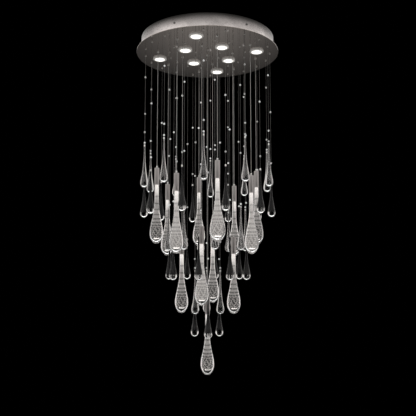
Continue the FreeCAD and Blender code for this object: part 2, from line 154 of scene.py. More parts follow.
class CanopyFinishes(bpy.types.PropertyGroup):
    """Colours of the canopy and the light of its lamps"""

    drum: colour("Drum", "Colour of the brushed drum beside the face plate", (0.805, 0.75, 0.737))
    # The drum's colour at the ceiling is painted shade, not a finish: the top of the drum is darkened where it
    # meets the ceiling.
    drum_painted_shade: colour("Drum at ceiling", "Colour of the shaded finish at the ceiling", (0.02, 0.019, 0.018))
    plate: colour("Face plate", "Colour of the polished face plate", (0.487, 0.44, 0.41))
    plate_roughness: share("Plate roughness", "How dull the face plate is under its polish", 0.055)
    plate_polish: share("Plate polish", "Strength of the sharp reflection on the face plate", 0.40)
    bezel: colour("Bezels", "Colour of the lamp bezels", (0.42, 0.41, 0.40))
    grip: colour("Grips", "Colour of the satin wire grips", (0.42, 0.41, 0.40))
    nickel: colour("Nickel", "Colour of ferrules and caps", (0.72, 0.71, 0.70))
    zinc: colour("Zinc", "Colour of the base disc", (0.66, 0.67, 0.68))
    lamp: colour("Lamp light", "Colour of the lit lamps", (1.0, 0.98, 0.94))
    lamp_glow: share("Lamp glow", "Strength of the lit lamps", 1.5, most=50)
    lens_rise: length("Lens rise", "How far the frosted lens bulges below its rim", 3.6 * MM)


class PendantSizes(bpy.types.PropertyGroup):
    """Sizes and light of the lit pendants"""

    holder_length: length("Holder", "Length of the metal holder", 70 * MM)
    holder_diameter: length("Holder width", "Outer diameter of the metal holder", 20 * MM)
    holder: colour("Holder colour", "Colour of the satin holder", (0.36, 0.338, 0.33))
    cable_diameter: length("Cable", "Outer diameter of the cable's clear sheath", 2 * MM)
    sheath: colour("Sheath", "Colour of the cable's clear sheath", (0.50, 0.495, 0.485))
    conductor: colour("Conductors", "Colour of the tinned conductors in the cable", (0.52, 0.515, 0.505))
    belly_height: length("Belly height", "Height of a crystal's widest place above its foot", 42 * MM)
    neck_height: length("Neck height", "Height above the foot where the neck becomes straight", 176 * MM)
    neck_diameter: length("Neck", "Diameter of a crystal's neck", 17.6 * MM)
    clear_foot: length("Clear foot", "Clear glass below the bubbles", 22.5 * MM)
    core: share("Bubble core", "Radius of the core of bubbles as a share of the crystal's", 0.49)
    neck_core: share("Neck core", "The same share in the neck", 0.46)
    foot_curve: share("Core foot", "Roundness of the core's foot: 1 is an ellipse, less is flatter", 0.5)
    columns: IntProperty(name="Columns", description="Bubbles in a row", default=14, min=6, max=40)
    belly_pitch: length("Rows in the belly", "Distance between rows of bubbles in the belly", 7.2 * MM)
    neck_pitch: length("Rows in the neck", "Distance between rows of bubbles in the neck", 30 * MM)
    plain_neck: length("Plain neck", "Part of the neck under the crystal's top without hollows", 52 * MM)
    bubble: colour("Bubble light", "Colour of the light that the bubbles scatter", (0.98, 0.925, 0.885))
    belly_glow: share("Belly glow", "Light of the veil of tiny bubbles in the belly", 0.17)
    # Front glow and front hollows are painted light on the crystals at the front, not milkier glass.
    front_glow: share("Front glow", "Light of the veil in the milkier crystals at the front", 0.335)
    foot_glow: share("Foot glow", "Light added at the foot of the core of bubbles", 1.1, most=2)
    neck_glow: share("Neck glow", "Light of the veil under the holder", 0.86)
    veil: share("Veil", "Density of the veil of tiny bubbles", 0.85)
    hollow: share("Hollows", "Light of a bubble's hollow as a share of the veil's", 0.02)
    front_hollow: share("Front hollows", "The same share in the milkier crystals", 0.42)
    neck_hollow: share("Neck hollows", "The same share at the start of the neck", 0.55)


class StrandSizes(bpy.types.PropertyGroup):
    """Sizes and colours of the beaded strands"""

    wire_diameter: length("Wire", "Diameter of the wires", 0.8 * MM)
    wire: colour("Wire colour", "Colour of the stranded steel wires", (0.125, 0.122, 0.118))
    drop_length: length("Drop length", "Length of a strand's drop", 172 * MM)
    drop_diameter: length("Drop belly", "Largest diameter of a strand's drop", 32 * MM)
    drop_belly: length("Drop belly height", "Height of a drop's widest place above its foot", 17 * MM)
    drop_neck: length("Drop neck", "Diameter of a drop's neck", 4.6 * MM)
    bead_diameter: length("Bead", "Diameter of a cut bead", 8 * MM)
    bead_facets: IntProperty(
        name="Bead facets", description="Facets round a bead", default=10, min=6, max=24)
    # Bead glow and the dim beads' height set painted lamp light: emission on the beads that fades downwards.
    bead_glow: share("Bead glow", "Lamp light that the highest beads scatter", 0.32)
    bead_dark: length("Dim beads", "Height at which the beads get least light", -1.15)
    glass: colour("Glass", "Colour of the glass of lit crystals and beads", (0.97, 0.98, 0.985))
    clear_drop: colour("Clear drops", "Colour of the drops on the shorter strands", (0.70, 0.705, 0.71))
    # Drops on the longer strands are of nearly black glass.
    dark_drop: colour("Smoky drops", "Colour of the drops on the longer strands", (0.015, 0.0152, 0.0155))
    # The feet of the dark drops are painted light: their clearer colour lets the feet light up while the rest
    # stays dark.
    painted_foot_light: colour("Smoky drops' feet", "Colour of the feet of those drops", (0.97, 0.975, 0.98))
    painted_foot_fade: length("Feet", "Height at which the colour of those feet has faded out", 25 * MM)


class StageSettings(bpy.types.PropertyGroup):
    """Floor, backdrop tone, lights and camera"""

    floor_height: length("Floor", "Height of the floor below the ceiling face", -3.4)
    floor_radius: length("Floor radius", "Radius of the round floor", 5.2)
    floor: colour("Floor colour", "Colour of the pale floor", (0.80, 0.79, 0.77))
    studio: colour("Studio tone", "Soft light from above and all round", (0.92, 0.90, 0.88))
    low_tone: colour("Low tone", "Soft light from well below the horizon", (0.28, 0.27, 0.26))
    side_tone: colour("Side tone", "Soft light from both sides", (0.95, 0.93, 0.91))
    overhead: colour("Overhead tone", "Light from high above that glass lets through", (1.0, 0.98, 0.96))
    glass_tone: colour("Glass tone", "Soft side light that glass lets through", (0.83, 0.775, 0.743))
    dark_belt: colour("Dark belt", "Tone of the dark backdrop round the horizon", (0.01, 0.01, 0.01))
    key_power: power("Front light", "Power of the front light", 2)
    back_power: power("Back light", "Power of the high back light", 8)


class Field:
    """A socket of a shader tree. Python's operators on it add Math nodes."""

    def __init__(self, tree, socket):
        self.tree = tree
        self.socket = socket

    def maths(self, operation, *values):
        return self.tree.node("ShaderNodeMath", {"operation": operation}, dict(enumerate(values)))

    def __add__(self, other):
        return self.maths("ADD", self, other)

    def __sub__(self, other):
        return self.maths("SUBTRACT", self, other)

    def __rsub__(self, other):
        return self.maths("SUBTRACT", other, self)

    def __mul__(self, other):
        return self.maths("MULTIPLY", self, other)

    def __pow__(self, other):
        return self.maths("POWER", self, other)

    def __rpow__(self, other):
        return self.maths("POWER", other, self)

    def __abs__(self):
        return self.maths("ABSOLUTE", self)

    __radd__ = __add__
    __rmul__ = __mul__


class ShaderTree:
    """Adds nodes to the tree of a material or a world."""

    def __init__(self, tree):
        self.nodes = tree.nodes
        self.links = tree.links

    def feed(self, socket, value):
        if isinstance(value, Field):
            self.links.new(value.socket, socket)
        else:
            socket.default_value = value

    def node(self, kind, settings, inputs, output=0):
        made = self.nodes.new(kind)
        for name, value in settings.items():
            setattr(made, name, value)
        for name, value in inputs.items():
            self.feed(made.inputs[name], value)
        return Field(self, made.outputs[output])

    def part(self, vector, axis):
        return self.node("ShaderNodeSeparateXYZ", {}, {"Vector": vector}, axis)

    def between(self, value, low, high, start=0.0, end=1.0):
        inputs = {"Value": value, "From Min": low, "From Max": high, "To Min": start, "To Max": end}
        return self.node("ShaderNodeMapRange", {"interpolation_type": "SMOOTHSTEP"}, inputs)

    def mixed(self, factor, first, second):
        return self.node("ShaderNodeMix", {"data_type": "RGBA"}, {0: factor, 6: first, 7: second}, 2)


class Finish(ShaderTree):
    """A material made of one Principled shader and the nodes that feed it."""

    def __init__(self, name):
        self.material = bpy.data.materials.new(name)
        self.material.use_nodes = True
        super().__init__(self.material.node_tree)
        self.nodes.clear()
        self.shader = self.nodes.new("ShaderNodeBsdfPrincipled")
        output = self.nodes.new("ShaderNodeOutputMaterial")
        self.links.new(self.shader.outputs["BSDF"], output.inputs["Surface"])

    def surface(self, values):
        for name, value in values.items():
            self.feed(self.shader.inputs[name], value)
        return self.material

    def place(self):
        return self.node("ShaderNodeTexCoord", {}, {}, "Object")

    def height(self):
        return self.part(self.place(), "Z")

    def noise(self, factors, detail=2.0):
        """Noise that is finer along the axes with larger factors."""
        stretched = self.node(
            "ShaderNodeVectorMath", {"operation": "MULTIPLY"}, {0: self.place(), 1: factors})
        inputs = {"Vector": stretched, "Scale": 1.0, "Detail": detail}
        return self.node("ShaderNodeTexNoise", {}, inputs)

    def bump(self, height, depth):
        return self.node("ShaderNodeBump", {}, {"Strength": 1.0, "Distance": depth, "Height": height})


def opaque(rgb, level=1.0):
    return (rgb[0] * level, rgb[1] * level, rgb[2] * level, 1.0)


def around(middle, spread, noise):
    """A value that noise moves by half the spread each way."""
    return middle - spread / 2 + noise * spread


def metal(name, rgb, roughness, grain, depth, spread=0.12, part_metal=1.0, spill=0.0):
    """Metal whose noise is drawn out by grain's three factors. spill is lamp light that strays onto it."""
    finish = Finish(name)
    lines = finish.noise(grain, detail=4.0)
    clouds = finish.noise((35, 35, 35))
    tone = lines * 0.6 + clouds * 0.4
    return finish.surface({
        "Base Color": finish.mixed(tone, opaque(rgb, 1 - spread), opaque(rgb, 1 + spread)),
        "Roughness": around(roughness, 0.12, tone),
        "Normal": finish.bump(lines, depth),
        "Metallic": part_metal,
        "Emission Color": opaque((1.0, 0.97, 0.93)),
        "Emission Strength": spill,
    })


def brushed_drum(canopy):
    """Steel brushed round the drum. Its colour darkens towards the ceiling into painted shade, patchy at random.
    """
    finish = Finish("brushed_drum")
    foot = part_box("canopy_drum")[0].z
    # rise fades from the drum's own colour near the plate to painted shade at the ceiling; haze makes that shade
    # patchy at random.
    rise = finish.between(finish.height(), foot, 0, 1, 0) ** 0.9
    lines = finish.noise((9, 9, 1400), detail=5.0)
    clouds = finish.noise((110, 110, 320), detail=5.0)
    haze = finish.between(finish.noise((7, 7, 9), detail=3.0), 0.38, 0.58, 0.66, 1.0)
    tone = finish.between(lines * 0.5 + clouds * 0.5, 0.3, 0.7)
    bright = finish.mixed(tone, opaque(canopy.drum, 0.74), opaque(canopy.drum, 1.20))
    return finish.surface({
        "Base Color": finish.mixed(rise * haze, opaque(canopy.drum_painted_shade), bright),
        "Roughness": around(0.29, 0.14, tone),
        "Normal": finish.bump(lines, 0.05 * MM),
        "Metallic": 1.0,
    })


def polished_plate(canopy):
    """Mirror steel with a fine straight grain and a haze that is uneven from place to place."""
    finish = Finish("polished_plate")
    lines = finish.noise((6, 900, 900), detail=4.0)
    clouds = finish.noise((7, 7, 7), detail=3.0)
    tone = lines * 0.35 + clouds * 0.65
    return finish.surface({
        "Base Color": finish.mixed(tone, opaque(canopy.plate, 0.82), opaque(canopy.plate, 1.18)),
        "Roughness": around(canopy.plate_roughness, 0.10, tone),
        "Normal": finish.bump(lines, 0.01 * MM),
        "Metallic": 1.0,
        "Coat Weight": around(canopy.plate_polish, 0.10, clouds),
        "Coat Roughness": 0.03,
    })


def plastic(name, rgb, roughness):
    """Moulded plastic or rubber with a fine spark-eroded texture."""
    finish = Finish(name)
    pores = finish.noise((1300, 1300, 1300), detail=3.0)
    clouds = finish.noise((40, 40, 40))
    return finish.surface({
        "Base Color": finish.mixed(clouds, opaque(rgb, 0.95), opaque(rgb, 1.05)),
        "Roughness": around(roughness, 0.10, pores),
        "Normal": finish.bump(pores, 0.03 * MM),
    })


def lit_lens(canopy, rim):
    """Frosted lens, lit from behind, a little brighter in patches and dimmer towards its rim."""
    finish = Finish("lit_lens")
    clouds = finish.noise((120, 120, 120))
    full = rim - 3.0 * MM
    lit = finish.between(finish.height(), rim, full, 0.15, 0.95) + clouds * 0.1
    return finish.surface({
        "Base Color": opaque(canopy.lamp),
        "Roughness": around(0.50, 0.1, clouds),
        "Emission Color": finish.mixed(lit, BLACK, opaque(canopy.lamp)),
        "Emission Strength": canopy.lamp_glow,
    })


def clear_glass(name, rgb, waves, depth, foot=None, painted_foot_fade=0.0, shine=1.0):
    """Polished glass with faint waves in its surface. A foot of another colour has faded out at the
    height given; on the dark drops that clearer foot is painted light, so that their feet light up.
    shine is the strength of the mirror reflections, which is 1 on plain glass."""
    finish = Finish(name)
    ripple = finish.noise(waves, detail=2.0)
    tint = opaque(rgb)
    if foot:
        # Painted light: the foot's clearer colour lets light through at the feet of the dark drops.
        low = finish.between(finish.height(), painted_foot_fade, 0.6 * painted_foot_fade)
        tint = finish.mixed(low, opaque(rgb), opaque(foot))
    return finish.surface({
        "Base Color": tint,
        "Roughness": around(0.010, 0.012, ripple),
        "IOR": 1.52,
        "Specular Tint": opaque((1, 1, 1), shine),
        "Transmission Weight": 1.0,
        "Normal": finish.bump(ripple, depth),
    })


def bead_finish(strands):
    """Cut crystal. Much of the light on its facets is painted: emission of lamp light, strongest on the highest
    beads and faintest at the dim beads' height, with painted glints that differ from bead to bead.
    """
    finish = Finish("cut_bead_glass")
    sparkle = finish.noise((500, 500, 500))
    unlike = finish.between(finish.noise((37, 37, 53)), 0.36, 0.64, 0.15, 1.5)
    dark, rise = strands.bead_dark, 0.45
    # Painted light: more lamp light on the higher beads, with painted glints from the sparkle noise.
    lit = (finish.between(finish.height(), dark, dark + rise, 0.1, 0.6) + sparkle * 0.4) * unlike
    return finish.surface({
        "Base Color": finish.mixed(sparkle, opaque(strands.glass, 0.35), opaque(strands.glass, 0.65)),
        "Roughness": around(0.13, 0.1, sparkle),
        "IOR": 1.6,
        "Transmission Weight": 0.15,
        "Coat Weight": 1.0,
        "Emission Color": finish.mixed(lit, BLACK, opaque(strands.glass)),
        "Emission Strength": strands.bead_glow,
    })


def scattered_light(name, pendants, top, glow, part, density):
    """Light of the bubbles: strong under the holder, soft in the belly, stronger at the core's foot.
    part is the share of that light which a piece gives where the belly is full."""
    finish = Finish(name)
    height = finish.height()
    cloud = finish.noise((260, 260, 120), detail=3.0)
    rise = finish.between(height, *[top - depth for depth in NECK_LIGHT])
    foot = finish.between(height, *[pendants.clear_foot + above for above in FOOT_LIGHT])
    level = glow + rise * (pendants.neck_glow - glow) + foot * pendants.foot_glow
    if part < 1:
        start, end = 1.3 * pendants.belly_height, 0.85 * pendants.neck_height
        level = level * finish.between(height, start, end, part, pendants.neck_hollow)
    lit = level * around(1.0, 0.3, cloud) * (1 / BRIGHTEST)
    return finish.surface({
        "Base Color": opaque(pendants.bubble, 0.3 * part),
        "Roughness": around(0.7, 0.2, cloud),
        "Alpha": density * around(1.0, 0.3, cloud),
        "Emission Color": finish.mixed(lit, BLACK, opaque(pendants.bubble)),
        "Emission Strength": BRIGHTEST,
    })


class DropOutline:
    """Radius of a drop at each height above its foot: a round foot, a curved flank and a straight neck."""

    def __init__(self, belly_radius, belly_height, neck_radius, neck_height, flank, foot=0.0, curve=1.0):
        self.belly_radius = belly_radius
        self.belly_height = belly_height
        self.foot = foot
        self.curve = curve
        rises = [0.0] + [rise for rise, lost in flank] + [1.0]
        losses = [0.0] + [lost for rise, lost in flank] + [1.0]
        self.heights = belly_height + np.array(rises) * (neck_height - belly_height)
        self.radii = belly_radius - np.array(losses) * (belly_radius - neck_radius)
        # Slopes at the points of a smooth curve through them that is upright at belly and neck
        steps = np.diff(self.heights)
        grades = np.diff(self.radii) / steps
        rows = np.eye(len(rises))
        right = np.zeros(len(rises))
        for i in range(1, len(rises) - 1):
            rows[i, i - 1 : i + 2] = steps[i], 2 * (steps[i - 1] + steps[i]), steps[i - 1]
            right[i] = 3 * (steps[i] * grades[i - 1] + steps[i - 1] * grades[i])
        self.grades = np.linalg.solve(rows, right)

    def flank_radius(self, height):
        i = int(np.clip(np.searchsorted(self.heights, height) - 1, 0, len(self.heights) - 2))
        step = self.heights[i + 1] - self.heights[i]
        u = (height - self.heights[i]) / step
        start = (1 + 2 * u) * (1 - u) ** 2 * self.radii[i] + u * (1 - u) ** 2 * step * self.grades[i]
        end = u * u * (3 - 2 * u) * self.radii[i + 1] + u * u * (u - 1) * step * self.grades[i + 1]
        return start + end

    def points(self, top, foot_steps=16, flank_steps=48):
        """(radius, height) from the foot's pole to the top."""
        quarter = np.linspace(0, math.pi / 2, foot_steps + 1)
        drop = self.belly_height - self.foot
        outline = [(self.belly_radius * math.sin(t) ** self.curve, self.belly_height - drop * math.cos(t))
                   for t in quarter]
        outline[0] = (0.0, self.foot)
        heights = np.linspace(self.belly_height, self.heights[-1], flank_steps + 1)[1:]
        outline += [(self.flank_radius(h), h) for h in heights]
        outline.append((self.radii[-1], top))
        return [(float(r), float(h)) for r, h in outline]


class Shape:
    """Points and faces on their way to one mesh piece."""

    def __init__(self):
        self.points = []
        self.faces = []

    def add(self, points, faces, place=(0, 0, 0)):
        first = len(self.points)
        self.points += [(p[0] + place[0], p[1] + place[1], p[2] + place[2]) for p in points]
        self.faces += [[first + i for i in face] for face in faces]
        return self

    def piece(self, name, material, body, slot, place=(0, 0, 0), crease=35.0):
        mesh = bpy.data.meshes.new(name)
        mesh.from_pydata(self.points, [], self.faces)
        mesh.polygons.foreach_set("use_smooth", [True] * len(mesh.polygons))
        mesh.set_sharp_from_angle(angle=math.radians(crease))
        mesh.materials.append(material)
        made = bpy.data.objects.new(name, mesh)
        made.location = place
        bpy.context.scene.collection.objects.link(made)
        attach(made, body)
        return made


def ring_point(radius, turn, height):
    return (radius * math.cos(turn), radius * math.sin(turn), height)


def turned(outline, sides, closed=False):
    """Points and faces of an outline of (radius, height) turned about Z. A radius of 0 gives one point.
    A closed outline is a ring's section."""
    points, rings = [], []
    for radius, height in outline:
        count = sides if radius > 0 else 1
        rings.append(range(len(points), len(points) + count))
        points += [ring_point(radius, 2 * math.pi * j / sides, height) for j in range(count)]
    faces = []
    pairs = list(zip(rings, rings[1:])) + ([(rings[-1], rings[0])] if closed else [])
    for low, high in pairs:
        for j in range(sides):
            k = (j + 1) % sides
            corners = [low[j % len(low)], low[k % len(low)], high[k % len(high)], high[j % len(high)]]
            faces.append(list(dict.fromkeys(corners)))
    return points, faces


def rounded_edge(radius, top, edge):
    """Quarter circle from the wall up to a flat top."""
    turns = np.linspace(0, math.pi / 2, 5)
    return [(radius - edge + edge * math.cos(t), top - edge + edge * math.sin(t)) for t in turns]


def dome(radius, low, rise, steps):
    """Rounded underside, from its lowest point in the middle out to its edge."""
    turns = np.linspace(0, math.pi / 2, steps)[1:]
    return [(0.0, low)] + [(radius * math.sin(t), low + rise - rise * math.cos(t)) for t in turns]


def flat_top(radius, top, edge):
    return [(radius, top - edge), (radius - edge, top), (0.0, top)]


def rod_outline(radius, low, high):
    return [(0.0, low), (radius, low), (radius, high), (0.0, high)]


def helix(radius, pitch, thick, low, high, phase):
    """A round strand wound about Z from one height to another."""
    sides, per_turn = 6, 8
    steps = max(2, round((high - low) / pitch * per_turn))
    points, faces = [], []
    lean = math.atan2(pitch, 2 * math.pi * radius)
    for i in range(steps + 1):
        turn = phase + 2 * math.pi * i / per_turn
        out = Vector((math.cos(turn), math.sin(turn), 0))
        up = Vector((math.sin(turn) * math.sin(lean), -math.cos(turn) * math.sin(lean), math.cos(lean)))
        centre = out * radius + Vector((0, 0, low + (high - low) * i / steps))
        for j in range(sides):
            t = 2 * math.pi * j / sides
            points.append(centre + (out * math.cos(t) + up * math.sin(t)) * thick / 2)
    for i in range(steps):
        for j in range(sides):
            a, b = i * sides + j, i * sides + (j + 1) % sides
            faces.append([a, a + sides, b + sides, b])
    faces.append(list(range(sides)))
    faces.append([steps * sides + j for j in reversed(range(sides))])
    return points, faces


def middle_of(node):
    low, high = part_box(node)
    return (low + high) / 2


class CHANDELIER_OT_canopy(bpy.types.Operator):
    """Give the canopy's sheet metal, screws, grips and control gear their finishes"""

    bl_idname = "chandelier.canopy"
    bl_label = "Finish the Canopy"

    def execute(self, context):
        canopy = context.scene.chandelier_canopy
        screws = metal("screw_steel", (0.16, 0.155, 0.15), 0.32, (300, 300, 300), 0.02 * MM)
        finishes = {
            "canopy_drum": brushed_drum(canopy),
            "face_plate": polished_plate(canopy),
            "base_disc": metal("zinc_sheet", canopy.zinc, 0.42, (60, 60, 60), 0.03 * MM, spread=0.2),
            "drum_side_screws": screws,
            "plate_fixings": screws,
            "lamp_clips": screws,
            "wire_grips": metal(
                "grip_nickel", canopy.grip, 0.30, (500, 500, 60), 0.01 * MM, part_metal=0.3, spill=0.02),
            "lamp_bezels": metal(
                "satin_bezel", canopy.bezel, 0.45, (700, 700, 700), 0.01 * MM, spill=0.14),
            "lamp_bodies": metal("spun_aluminium", (0.80, 0.80, 0.80), 0.38, (80, 80, 900), 0.03 * MM),
            "lamp_sockets": plastic("socket_plastic", (0.86, 0.84, 0.80), 0.45),
            "control_gear": plastic("gear_case_plastic", (0.85, 0.85, 0.85), 0.50),
            "cable_bush": plastic("bush_rubber", (0.06, 0.06, 0.06), 0.70),
        }
        for node, finish in finishes.items():
            materials = frame["nodes"][node].data.materials
            materials.clear()
            materials.append(finish)
        return {"FINISHED"}


class CHANDELIER_OT_lamps(bpy.types.Operator):
    """Build the frosted lenses of the downlights"""

    bl_idname = "chandelier.lamps"
    bl_label = "Build the Lamp Lenses"

    def execute(self, context):
        canopy = context.scene.chandelier_canopy
        low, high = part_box("lamp_lenses")
        rim, bulge = 24.8 * MM, 22.4 * MM
        outline = dome(bulge, low.z - canopy.lens_rise, canopy.lens_rise, 9)
        outline += [(rim, low.z), (rim, high.z), (0.0, high.z)]
        lenses = Shape()
        for place in lens_places():
            lenses.add(*turned(outline, 48), place)
        made = lenses.piece("frosted_lenses", lit_lens(canopy, low.z), "canopy", "lamp_glass")
        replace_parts(made, "lamp_lenses")
        return {"FINISHED"}


def lens_places():
    """The middles of the separate lenses in their node."""
    reach = 60 * MM
    centres = []
    for vertex in frame["nodes"]["lamp_lenses"].data.vertices:
        near = [c for c in centres if (c[0] - vertex.co).xy.length < reach]
        if near:
            near[0].append(vertex.co)
        else:
            centres.append([vertex.co])
    places = []
    for group in centres:
        x = [p.x for p in group]
        y = [p.y for p in group]
        places.append(((min(x) + max(x)) / 2, (min(y) + max(y)) / 2, 0.0))
    return places


class CHANDELIER_OT_holders(bpy.types.Operator):
    """Build the holders with their ferrules, cables and light modules"""

    bl_idname = "chandelier.holders"
    bl_label = "Build the Holders"

    def execute(self, context):
        sizes = context.scene.chandelier_pendants
        tone = context.scene.chandelier_canopy.nickel
        nickel = metal("ferrule_nickel", tone, 0.2, (400, 400, 60), 0.01 * MM)
        satin = metal("satin_holder", sizes.holder, 0.38, (900, 900, 12), 0.02 * MM)
        sheath = plastic("clear_sheath", sizes.sheath, 0.22)
        sheath.node_tree.nodes["Principled BSDF"].inputs["Alpha"].default_value = 0.55
        copper = metal("tinned_strands", sizes.conductor, 0.30, (900, 900, 300), 0.02 * MM)
        module = module_finish(sizes)
        for body in PENDANTS:
            node = body + "_holder"
            low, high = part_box(node)
            place = Vector((*middle_of(node).xy, low.z))
            cable_top = high.z - low.z
            pieces = (
                ("_shell", holder_shell(sizes), satin, "satin_holder"),
                ("_ferrule", ferrule(sizes), nickel, "grip_nickel"),
                ("_cable_sheath", cable_sheath(sizes, cable_top), sheath, "cable_sheath"),
                ("_conductors", conductors(sizes, cable_top), copper, "cable_sheath"),
                ("_light_module", light_module(), module, "reflector_aluminium"),
            )
            for ending, shape, finish, slot in pieces:
                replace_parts(shape.piece(body + ending, finish, body, slot, place), node)
        return {"FINISHED"}


def holder_shell(sizes):
    """Thin tube with a closed roof, a turned groove above its rim and rounded edges."""
    outer, top, cable = sizes.holder_diameter / 2, sizes.holder_length, sizes.cable_diameter / 2
    wall, roof, bevel, edge, flare = 1 * MM, 3 * MM, 0.4 * MM, 0.8 * MM, 0.3 * MM
    groove, width, depth = 6 * MM, 1.2 * MM, 0.3 * MM
    bore = outer - wall
    outline = [(outer - bevel, 0), (outer, bevel), (outer, groove)]
    outline += [(outer - depth, groove + depth), (outer - depth, groove + width - depth)]
    outline += [(outer, groove + width)]
    outline += rounded_edge(outer, top, edge)
    outline += [(cable, top), (cable, top - roof), (bore, top - roof), (bore, bevel), (bore + flare, 0)]
    return Shape().add(*turned(outline, 48, closed=True))


def ferrule(sizes):
    """Clamping ferrule on the holder's roof, waisted and rounded at its top."""
    radius, cable, foot = 3.25 * MM, sizes.cable_diameter / 2, sizes.holder_length
    low, high, top = foot + 2.2 * MM, foot + 4.8 * MM, foot + 9 * MM
    waist, slope, edge = 0.5 * MM, 0.6 * MM, 1.4 * MM
    outline = [(cable, foot), (radius, foot), (radius, low), (radius - waist, low + slope)]
    outline += [(radius - waist, high - slope), (radius, high)]
    outline += rounded_edge(radius, top, edge)
    outline += [(cable, top)]
    return Shape().add(*turned(outline, 32, closed=True))


def cable_sheath(sizes, top):
    foot = sizes.holder_length + CABLE_START
    wall = 0.12 * MM
    outer = sizes.cable_diameter / 2
    outline = [(outer, foot), (outer, top), (outer - wall, top), (outer - wall, foot)]
    return Shape().add(*turned(outline, 16, closed=True))


def conductors(sizes, top):
    """Two tinned conductors twisted round each other inside the sheath."""
    shape = Shape()
    radius, thick, pitch = 0.42 * MM, 0.82 * MM, 14 * MM
    foot = sizes.holder_length + CABLE_START
    for phase in (0, math.pi):
        shape.add(*helix(radius, pitch, thick, foot, top, phase))
    return shape


def light_module():
    """Round board with a small domed light source that faces down into the crystal."""
    source, board, plug = 4.2 * MM, 7.5 * MM, 6.4 * MM
    board_foot = MODULE_FOOT + MODULE_DOME
    board_top, plug_foot, plug_top = board_foot + 1.6 * MM, board_foot + 1.8 * MM, board_foot + 3.4 * MM
    outline = dome(source, MODULE_FOOT, MODULE_DOME, 7)
    outline += [(board, board_foot), (board, board_top)]
    outline += [(plug, plug_foot), (plug, plug_top), (0.0, plug_top)]
    return Shape().add(*turned(outline, 32))


def module_finish(sizes):
    finish = Finish("light_module")
    lit = 1 - finish.between(finish.height(), MODULE_FOOT, MODULE_FOOT + 1.5 * MM)
    speckle = finish.noise((700, 700, 700))
    return finish.surface({
        "Base Color": finish.mixed(speckle, opaque((0.70, 0.70, 0.70)), opaque((0.85, 0.85, 0.85))),
        "Roughness": around(0.45, 0.1, speckle),
        "Emission Color": finish.mixed(lit, BLACK, opaque(sizes.bubble)),
        "Emission Strength": 3.0,
    })


class CHANDELIER_OT_crystals(bpy.types.Operator):
    """Build the drop-shaped crystals with their rows of bubbles"""

    bl_idname = "chandelier.crystals"
    bl_label = "Build the Bubble Crystals"

    def execute(self, context):
        sizes = context.scene.chandelier_pendants
        low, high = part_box(PENDANTS[0] + "_crystal")
        top = high.z - low.z
        tint = context.scene.chandelier_strands.glass
        glass = clear_glass("bubble_crystal_glass", tint, (90, 90, 30), 0.03 * MM)
        inside = {
            False: (scattered_light("hollows", sizes, top, sizes.belly_glow, sizes.hollow, 1.0),
                    scattered_light("veil", sizes, top, sizes.belly_glow, 1.0, sizes.veil)),
            # The crystals at the front get painted light: a brighter glow and fainter hollows.
            True: (scattered_light("milky_hollows", sizes, top, sizes.front_glow, sizes.front_hollow, 1.0),
                   scattered_light("milky_veil", sizes, top, sizes.front_glow, 1.0, sizes.veil)),
        }
        for body in PENDANTS:
            node = body + "_crystal"
            low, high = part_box(node)
            place = Vector((*middle_of(node).xy, low.z))
            belly = (high.x - low.x) / 2
            outline = crystal_outline(sizes, belly)
            field = bubble_field(sizes, belly)
            solid = outline.points(top)[:-1] + flat_top(sizes.neck_diameter / 2, top, 0.5 * MM)
            hollows, veil = inside[place.y < FRONT_ROW]
            pieces = (
                ("_glass", Shape().add(*turned(solid, 64)), glass),
                ("_bubbles", bubble_lattice(sizes, field, top), hollows),
                ("_bubble_veil", bubble_veil(field, top), veil),
            )
            for ending, shape, finish in pieces:
                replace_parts(shape.piece(body + ending, finish, body, "bubble_crystal", place), node)
        return {"FINISHED"}


def crystal_outline(sizes, belly):
    neck = sizes.neck_diameter / 2
    return DropOutline(belly, sizes.belly_height, neck, sizes.neck_height, CRYSTAL_FLANK)


def bubble_field(sizes, belly):
    """Outline of the core of bubbles inside the clear wall, above the clear foot."""
    neck = sizes.neck_core * sizes.neck_diameter / 2
    belly = sizes.core * belly
    return DropOutline(belly, sizes.belly_height, neck, sizes.neck_height, CRYSTAL_FLANK,
                       sizes.clear_foot, sizes.foot_curve)


def bubble_rows(sizes, field, top):
    """(radius, height, slope, pitch) of each row: even along the outline, wider apart in the neck."""
    first_row, widening_starts, widening_spans, widening_bends = 1.7, 1.3, 2.7, 0.8
    outline = field.points(top - sizes.plain_neck, foot_steps=48, flank_steps=240)
    rows = []
    travelled, wanted = 0.0, sizes.belly_pitch * first_row
    for (r0, h0), (r1, h1) in zip(outline, outline[1:]):
        step = math.hypot(r1 - r0, h1 - h0)
        reached = (h0 / sizes.belly_height - widening_starts) / widening_spans
        drawn = float(np.clip(reached, 0, 1)) ** widening_bends
        pitch = sizes.belly_pitch + (sizes.neck_pitch - sizes.belly_pitch) * drawn
        while travelled + step >= wanted:
            u = (wanted - travelled) / step
            rows.append((r0 + (r1 - r0) * u, h0 + (h1 - h0) * u, math.atan2(h1 - h0, r1 - r0), pitch))
            wanted += pitch
        travelled += step
    return rows


def scatter(steps, j, k):
    """A number between -1 and 1 for bubble j of row k."""
    return math.sin(steps[0] * j + steps[1] * k)


